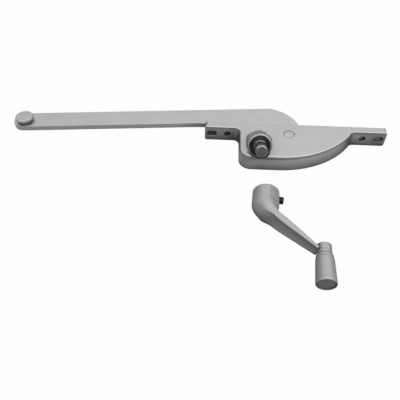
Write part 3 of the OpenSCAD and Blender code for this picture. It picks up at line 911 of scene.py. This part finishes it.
def web_field(x, y, z):
    """The sloping web: a tapering strap, hollowed along its front."""
    along, front, share = web_places(x, z)
    near_hub = np.exp(-((np.maximum(along, 0) / WEB_RISE_L) ** 2))
    half = WEB_HUB_HALF + (WEB_EYE_HALF - WEB_HUB_HALF) * share + WEB_RISE * near_hub
    web = smooth_max(web_side(along, front), np.abs(y) - half, WEB_EDGE_R + WEB_SOFTER * near_hub)
    start = np.clip((along - TROUGH_START) / TROUGH_RAMP_L, 0, 1)
    depth = TROUGH_DEPTH * start * (1 - TROUGH_FADE * share)
    chord, deepest = half - TROUGH_EDGE, TROUGH_MIDDLE * half
    spread = np.where(y > deepest, (y - deepest) / (chord - deepest), (deepest - y) / (chord + deepest))
    far_below = np.where(spread > 1, 5, 0)
    trough = front - web_r(share) + depth * np.maximum(1 - spread**2, 0) - far_below
    return smooth_max(web, trough, 0.35)


def parting_line(x, y, z):
    """How high the fine parting line stands: along the hub, then along the web's upper side."""
    along, front, share = web_places(x, z)
    on_web = np.abs(front + PARTING_BEHIND * web_r(share))
    on_hub = np.abs(-x * sin(PARTING_ANGLE) + y * cos(PARTING_ANGLE))
    here = np.where(z > PARTING_TURN_Z, on_web, on_hub)
    fade = np.clip((EYE_FROM + 1 - z) / 3, 0, 1) * (y > 0)
    return PARTING_H * fade * np.exp(-((here / PARTING_W) ** 2))


def eye_field(x, y, z):
    """The eye that holds the knob's pin: a barrel with a slightly larger band towards the knob."""
    from_band = z - (EYE_TO - EYE_BAND)
    step = np.clip(from_band / 0.4, 0, 1)
    groove = EYE_GROOVE * np.exp(-((from_band / 0.35) ** 2))
    barrel = np.hypot(x - CRANK_R, y) - (EYE_R - 0.12 + EYE_BAND_H * step - groove)
    ends = np.abs(z - (EYE_FROM + EYE_TO) / 2) - (EYE_TO - EYE_FROM) / 2
    return smooth_max(barrel * 0.85, ends, 0.4)


def crank_field(x, y, z):
    """The whole casting: hub, web and eye blended, no lower than the surface it lies on, and bored."""
    solid = smooth_min(hub_field(x, y, z), web_field(x, y, z), WEB_BLEND)
    solid = solid - parting_line(x, y, z)
    solid = smooth_min(solid, eye_field(x, y, z), EYE_BLEND)
    lean = (HUB_R - KNOB_R) / CRANK_R
    solid = np.maximum(solid, x * lean - y * sqrt(1 - lean**2) - HUB_R)
    r = np.hypot(x, y)
    bore = np.maximum(r - SOCKET_R, z - SOCKET_L)
    mouth = (r - (SOCKET_R + 0.5) + z) / sqrt(2)
    screw = np.maximum(np.hypot(y, z - SCREW_AT) - (SCREW_R + FIT), -x)
    pin = np.hypot(x - CRANK_R, y) - PIN_HOLE_R
    for hole in (bore, mouth, screw, pin):
        solid = np.maximum(solid, -hole)
    return solid


def make_crank():
    low = (-HUB_R - 0.6, -HUB_R - 0.6, -0.6)
    high = (CRANK_R + EYE_R + 1.2, HUB_R + 0.6, EYE_TO + 0.6)
    piece = field_piece("crank_casting", crank_field, low, high, 0.3, ON_CRANK)
    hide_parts("crank_body")
    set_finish(piece, "crank_paint")
    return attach(piece, "crank")


KNOB_BORE_R = 2.56
HOLLOW_R = 4.8
HOLLOW_FROM = 65.7
ON_KNOB = ON_CRANK @ Matrix.Translation((CRANK_R, 0, 0))


def make_knob():
    """The turning grip: a short neck, a long taper, a rounded rim and a hollow for the pin's head."""
    z, r, neck, seat = KNOB_FROM, KNOB_R, 6.0, CAP_R + 0.02
    profile = [
        (KNOB_BORE_R, z + 0.1), (neck - 0.3, z + 0.1), (neck - 0.08, z + 0.2), (neck, z + 0.4),
        (neck, z + 1.9), (neck + 0.08, z + 2.3), (neck + 0.3, z + 2.75), (neck + 0.42, z + 3.3),
        (neck + 0.6, z + 8), (neck + 0.85, z + 15), (r - 0.02, CRANK_L - 1.2), (r, CRANK_L - 0.7),
        (r - 0.1, CRANK_L - 0.3), (r - 0.3, CRANK_L - 0.05), (r - 0.5, CRANK_L),
        (seat + 0.1, CRANK_L - 0.12), (seat, CRANK_L - 0.4), (seat, CAP_FROM), (HOLLOW_R, CAP_FROM),
        (HOLLOW_R, HOLLOW_FROM), (KNOB_BORE_R, HOLLOW_FROM),
    ]
    piece = shade(lathe("knob_grip", profile, ON_KNOB, closed=True, steps=128))
    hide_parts("knob")
    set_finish(piece, "crank_paint")
    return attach(piece, "knob")


def make_knob_cap():
    """The disc pressed into the knob's end, dished inside a narrow rim."""
    dish_z = CAP_TO - 0.55
    profile = [
        (0, CAP_FROM + 0.1), (CAP_R, CAP_FROM + 0.1), (CAP_R, CAP_TO - 0.3), (CAP_R - 0.12, CAP_TO - 0.08),
        (CAP_R - 0.4, CAP_TO), (CAP_R - 1.0, CAP_TO - 0.1),
        *[(r, dish_z + 0.45 * (r / (CAP_R - 1)) ** 2) for r in (4.4, 3.4, 2.4, 1.4, 0.6)], (0, dish_z),
    ]
    piece = shade(lathe("end_cap", profile, ON_KNOB))
    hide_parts("knob_cap")
    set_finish(piece, "cap_plastic")
    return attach(piece, "knob")


THREAD_PITCH = 1.0
THREAD_DEPTH = 0.32
THREAD_STEPS = 16
THREAD_SIDES = 48
DRIVER_SLOT_HALF = 0.5
DRIVER_SLOT_DEPTH = 1.3
DRIVER_SLOT_TURN = radians(35)


def thread_sections():
    """Cross-sections of the screw, with its thread fading out at both ends."""
    sections = []
    steps = int(SCREW_L / THREAD_PITCH * THREAD_STEPS)
    for i in range(steps + 1):
        z = SCREW_L * i / steps
        fade = min(1, z / 0.6, (SCREW_L - z) / 0.3 + 0.4)
        taper = min(1, 0.85 + 0.15 * fade)
        ring = []
        for k in range(THREAD_SIDES):
            a = 2 * pi * k / THREAD_SIDES
            phase = (z / THREAD_PITCH - a / (2 * pi)) % 1
            crest = 1 - abs(2 * phase - 1)
            r = SCREW_R - 0.02 - THREAD_DEPTH + THREAD_DEPTH * min(1, crest * 1.4)
            ring.append((r * taper * cos(a), r * taper * sin(a), z))
        sections.append(ring)
    return sections


def make_set_screw():
    """A slotted set screw with a real helical thread."""
    place = (ON_CRANK @ Matrix.Translation((0, 0, SCREW_AT)) @ Matrix.Rotation(pi / 2, 4, "Y")
             @ Matrix.Translation((0, 0, HUB_R + SCREW_OUT - SCREW_L)))
    piece = loft("slotted_screw", thread_sections(), place)
    low = (-SCREW_R - 1, -DRIVER_SLOT_HALF, SCREW_L - DRIVER_SLOT_DEPTH)
    high = (SCREW_R + 1, DRIVER_SLOT_HALF, SCREW_L + 1)
    cut(piece, box_piece(low, high, place @ Matrix.Rotation(DRIVER_SLOT_TURN, 4, "Z")))
    shade(piece)
    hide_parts("set_screw")
    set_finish(piece, "dark_steel")
    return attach(piece, "set_screw")


# ---- Materials ----


class Sketch:
    """A node tree, with shorthand for adding and linking its nodes."""

    def __init__(self, tree):
        self.nodes = tree.nodes
        self.links = tree.links

    def add(self, kind, inputs=(), **settings):
        """Adds a node; each of its inputs is given as a number or as another node's output."""
        node = self.nodes.new(kind)
        for key, value in settings.items():
            setattr(node, key, value)
        for socket, value in dict(inputs).items():
            if isinstance(value, bpy.types.NodeSocket):
                self.links.new(value, node.inputs[socket])
            else:
                node.inputs[socket].default_value = value
        return node

    def split(self, vector):
        """The X, Y and Z of a vector."""
        return self.add("ShaderNodeSeparateXYZ", {"Vector": vector}).outputs

    def maths(self, operation, first, second):
        return self.add("ShaderNodeMath", {0: first, 1: second}, operation=operation).outputs["Value"]

    def map_range(self, value, start, end, low, high, interpolation="SMOOTHSTEP"):
        """Maps start to end onto low to high, with a soft start and end or in a straight line."""
        inputs = {"Value": value, "From Min": start, "From Max": end, "To Min": low, "To Max": high}
        return self.add("ShaderNodeMapRange", inputs, interpolation_type=interpolation).outputs["Result"]


class Paintbox(Sketch):
    """The nodes of one material; its colour and bumps are built up layer by layer."""

    def __init__(self, name, colour, metallic, roughness):
        self.material = bpy.data.materials.new(name)
        self.material.use_nodes = True
        super().__init__(self.material.node_tree)
        self.shader = self.nodes["Principled BSDF"]
        self.shader.inputs["Metallic"].default_value = metallic
        self.colour = (*colour, 1)
        self.roughness = roughness
        self.place = self.add("ShaderNodeTexCoord").outputs["Object"]
        self.bumps = None

    def grain(self, size_mm, stretch=(1, 1, 1), detail=3.0):
        """Noise whose patches are about size_mm across, drawn out along an axis by stretch."""
        scale = [1 / (size_mm * MM * share) for share in stretch]
        place = self.add("ShaderNodeMapping", {"Vector": self.place, "Scale": scale}).outputs["Vector"]
        inputs = {"Vector": place, "Scale": 1.0, "Detail": detail}
        return self.add("ShaderNodeTexNoise", inputs).outputs["Fac"]

    def spread(self, noise, low, high):
        """Maps the middle half of a noise onto low to high."""
        return self.map_range(noise, 0.25, 0.75, low, high, "LINEAR")

    def mix_in(self, factor, other, blend="MIX"):
        """Mixes the colour so far with another."""
        inputs = {"Factor": factor, "A": self.colour, "B": other}
        mix = self.add("ShaderNodeMix", inputs, data_type="RGBA", blend_type=blend)
        self.colour = mix.outputs["Result"]

    def shade_colour(self, factor):
        """Multiplies the colour by a factor that varies over the surface."""
        self.mix_in(1.0, factor, "MULTIPLY")

    def mottle(self, size_mm, low, high, **grain):
        """Varies the colour between two shares of itself, in patches about size_mm across."""
        self.shade_colour(self.spread(self.grain(size_mm, **grain), low, high))

    def vary_roughness(self, size_mm, swing, **grain):
        noise = self.grain(size_mm, **grain)
        rough = self.spread(noise, self.roughness - swing, self.roughness + swing)
        self.links.new(rough, self.shader.inputs["Roughness"])

    def bump(self, size_mm, depth_mm, **grain):
        inputs = {"Height": self.grain(size_mm, **grain), "Distance": depth_mm * MM}
        if self.bumps is not None:
            inputs["Normal"] = self.bumps
        self.bumps = self.add("ShaderNodeBump", inputs).outputs["Normal"]

    def wear(self, colour, amount):
        """Sharp edges rubbed towards another colour, broken up by grain."""
        sharp = self.add("ShaderNodeNewGeometry").outputs["Pointiness"]
        edge = self.map_range(sharp, 0.53, 0.62, 0.0, amount, "LINEAR")
        broken = self.maths("MULTIPLY", edge, self.spread(self.grain(1.5), 0.4, 1.0))
        self.mix_in(broken, (*colour, 1))

    def paint_shade(self, reach_mm, darkest_shade, start=0.0):
        """Painted shade: darkens corners and hollows, as far as reach_mm from the next surface."""
        shelter = self.add("ShaderNodeAmbientOcclusion", {"Distance": reach_mm * MM}).outputs["AO"]
        self.shade_colour(self.map_range(shelter, start, 1.0, darkest_shade, 1.0))

    def done(self):
        self.links.new(self.colour, self.shader.inputs["Base Color"])
        if self.bumps is not None:
            self.links.new(self.bumps, self.shader.inputs["Normal"])
        return self.material


def silver_paint(name, colour, metallic, roughness, darkest_shade):
    """Satin silver paint: fine flake, slow tone changes, a little orange peel, rubbed edges and painted shade in
    corners and hollows.
    """
    box = Paintbox(name, colour, metallic, roughness)
    box.mottle(0.25, 0.96, 1.03, detail=1.0)
    box.mottle(14, 0.97, 1.02)
    box.vary_roughness(6, 0.04)
    box.bump(1.1, 0.004, detail=1.0)
    box.bump(0.25, 0.0012, detail=1.0)
    box.wear((0.75, 0.75, 0.76), 0.15)
    # Painted shade, darker where the paint is sheltered by nearby surfaces
    box.paint_shade(30.0, darkest_shade)
    return box.done()


def drawn_steel(name, colour, roughness, stretch=(1, 1, 1)):
    """Bare or plated steel with faint stains, and with drawing lines where the grain is stretched."""
    box = Paintbox(name, colour, 1.0, roughness)
    box.mottle(0.3, 0.9, 1.06, stretch=stretch)
    box.mottle(11, 0.95, 1.03)
    box.vary_roughness(0.6, 0.06, stretch=stretch)
    box.bump(0.25, 0.004, stretch=stretch, detail=1.0)
    return box.done()


def sintered_bronze(name, colour):
    """Grey-brown sintered bronze, dark with oil."""
    box = Paintbox(name, colour, 1.0, 0.45)
    box.mottle(0.5, 0.8, 1.1)
    box.mottle(4, 0.9, 1.05)
    box.vary_roughness(1.2, 0.08)
    box.bump(0.3, 0.006, detail=1.0)
    return box.done()


def moulded_plastic(name, colour):
    """Dull plastic with a fine moulded grain."""
    box = Paintbox(name, colour, 0.0, 0.5)
    box.mottle(2.5, 0.92, 1.06)
    box.vary_roughness(1.5, 0.05)
    box.bump(0.22, 0.01, detail=1.0)
    return box.done()


ALONG_ARM = (40, 1, 1)
# For the silver paints, the last number is the darkest share that their painted shade in corners and hollows
# reaches
FINISHES = {name: make(name, *look) for name, make, *look in (
    ("housing_paint", silver_paint, (0.52, 0.525, 0.54), 0.85, 0.31, 0.2),
    ("crank_paint", silver_paint, (0.43, 0.43, 0.44), 0.45, 0.45, 0.0),
    ("arm_steel", drawn_steel, (0.59, 0.595, 0.605), 0.4, ALONG_ARM),
    ("spindle_steel", drawn_steel, (0.5, 0.5, 0.505), 0.22),
    ("plated_steel", drawn_steel, (0.55, 0.55, 0.56), 0.35),
    ("dark_steel", drawn_steel, (0.06, 0.06, 0.064), 0.4),
    # Very dark walls for the holes and the recess: bare casting with painted shade in these hollows
    ("bare_casting", drawn_steel, (0.12, 0.12, 0.125), 0.45),
    ("bronze", sintered_bronze, (0.085, 0.075, 0.062)),
    ("cap_plastic", moulded_plastic, (0.2, 0.2, 0.205)),
)}


def paint_shade_in_bare_holes(housing):
    """Gives the walls of the screw holes and of the spindle's recess a very dark finish: bare casting, darkened
    further as painted shade in these hollows.
    """
    mesh = housing.data
    mesh.materials.append(FINISHES["bare_casting"])
    to_spindle = ON_SPINDLE.inverted() @ Matrix.Scale(1 / MM, 4)
    near = 0.01
    for face in mesh.polygons:
        centre = face.center / MM
        in_ear = -EAR_T + 2 * near < centre.y < -2 * near and abs(centre.z) < HOLE_R + near
        from_hole = min(abs(abs(centre.x) - span / 2) for span in (OUTER_SPAN, INNER_SPAN))
        in_hole = in_ear and from_hole < SLOT_L / 2 + near and abs(face.normal.y) < 0.3
        local = to_spindle @ face.center
        deep = BOSS_INSIDE_FROM < local.z < BOSS_FACE - 0.2
        if in_hole or (deep and local.xy.length < RING_GROOVE_R + 0.05):
            face.material_index = 1


# ---- Build ----

made = [
    make_housing(), make_arm(), make_stud(), make_pivot_pin(), make_shaft(), make_worm(),
    make_retaining_ring(), make_crank(), make_set_screw(), make_knob(), make_knob_cap(),
]
for piece in made:
    piece.data.materials.clear()
    piece.data.materials.append(FINISHES[piece["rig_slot"]])
paint_shade_in_bare_holes(made[0])
slots = {part["node"]: part["material_slot"] for part in frame["record"]["subparts"]}
for name, node in frame["nodes"].items():
    node.data.materials.clear()
    node.data.materials.append(FINISHES[slots[name]])

# ---- Floor, light and camera ----

FLOOR_HALF = 1500.0
FLOOR_ALBEDO = 0.63
PAPER_WHITE = 0.985
# What share of its light the floor throws up, as painted light and shade: little, except left of LEFT_ZONE and in
# some round pools of painted light
DULL = 0.35
LEFT_SHARE = 0.6
LEFT_ZONE = (-0.1, -0.085)
BRIGHT_POOLS = [((0, 0, 0), 0.06, 0.078), ((0, -0.23, 0), 0.04, 0.08)]


def painted_floor_light(box):
    """Painted light and shade on the floor: how much light each place of it throws up."""
    share = box.map_range(box.split(box.place)["X"], *LEFT_ZONE, LEFT_SHARE, DULL)
    for centre, start, end in BRIGHT_POOLS:
        away = box.add("ShaderNodeVectorMath", {0: box.place, 1: centre}, operation="DISTANCE")
        zone = box.map_range(away.outputs["Value"], start, end, 1.0, DULL)
        share = box.maths("MAXIMUM", share, zone)
    return share


def make_floor():
    """A pale sheet that the part lies on; it looks white, and throws little light back up, with painted pools of
    light and a painted contact shadow in what it throws up.
    """
    half = FLOOR_HALF
    floor = box_piece((-half, -half, -10), (half, half, 0), ON_BASE, "floor")
    box = Paintbox("floor_paper", (FLOOR_ALBEDO, FLOOR_ALBEDO, FLOOR_ALBEDO), 0.0, 0.9)
    box.mottle(40, 0.98, 1.02)
    # Painted pools of light and painted shade, seen only in the light the floor throws up
    box.shade_colour(painted_floor_light(box))
    # Painted contact shadow, darker where the floor is sheltered by the part
    box.paint_shade(20.0, 0.1, start=0.3)
    white = box.add("ShaderNodeEmission", {"Color": (1, 1, 1, 1), "Strength": PAPER_WHITE})
    seen = box.add("ShaderNodeLightPath").outputs["Is Camera Ray"]
    mix = box.add("ShaderNodeMixShader", {0: seen, 1: box.shader.outputs[0], 2: white.outputs[0]})
    box.links.new(mix.outputs["Shader"], box.nodes["Material Output"].inputs["Surface"])
    floor.data.materials.append(box.done())


# Where the dark low walls give way to the bright ceiling, as the height of a direction, and their light
CEILING_EDGE = (0.24, 0.58)
WALL_LIGHT = 0.04
CEILING_LIGHT = 1.22
BRIGHTER_TOWARDS = (0.2, -0.28, 0.0)


def light_room():
    """An even studio: a bright ceiling, dark low walls, and the front right a little brighter."""
    world = bpy.data.worlds.new("studio")
    bpy.context.scene.world = world
    world.use_nodes = True
    room = Sketch(world.node_tree)
    way = room.add("ShaderNodeTexCoord").outputs["Generated"]
    ceiling = room.map_range(room.split(way)["Z"], *CEILING_EDGE, WALL_LIGHT, CEILING_LIGHT)
    lean = room.add("ShaderNodeVectorMath", {0: way, 1: BRIGHTER_TOWARDS}, operation="DOT_PRODUCT")
    level = room.maths("ADD", lean.outputs["Value"], 1.0)
    light = room.maths("MULTIPLY", ceiling, level)
    seen = room.add("ShaderNodeLightPath").outputs["Is Camera Ray"]
    mix = room.add("ShaderNodeMix", {"Factor": seen, "A": light, "B": PAPER_WHITE})
    room.links.new(mix.outputs["Result"], room.nodes["Background"].inputs["Color"])


LAMP_AT = Vector((50, 250, 700))
LAMP_AIM = Vector((-20, -30, 0))


def add_softbox():
    """A wide soft lamp overhead, a little behind the part."""
    data = bpy.data.lights.new("overhead", "AREA")
    data.shape = "RECTANGLE"
    data.size = 900 * MM
    data.size_y = 500 * MM
    data.energy = 0.2
    lamp = add_object("overhead", data)
    lamp.location = LAMP_AT * MM
    lamp.rotation_euler = (LAMP_AIM - LAMP_AT).to_track_quat("-Z", "Y").to_euler()


CAMERA_AT = (-63.6, -309.8, 249.85)
CAMERA_TILT = radians(42)
CAMERA_TURN = radians(3.38)


def add_camera():
    """A camera 48 degrees above the floor, turned a little to the left."""
    data = bpy.data.cameras.new("camera")
    data.lens = 40.23
    data.sensor_width = 36.0
    data.clip_start = 10 * MM
    camera = add_object("camera", data)
    camera.location = Vector(CAMERA_AT) * MM
    camera.rotation_euler = (CAMERA_TILT, 0, CAMERA_TURN)
    bpy.context.scene.camera = camera


make_floor()
light_room()
add_softbox()
add_camera()
bpy.context.scene.view_settings.view_transform = "Standard"
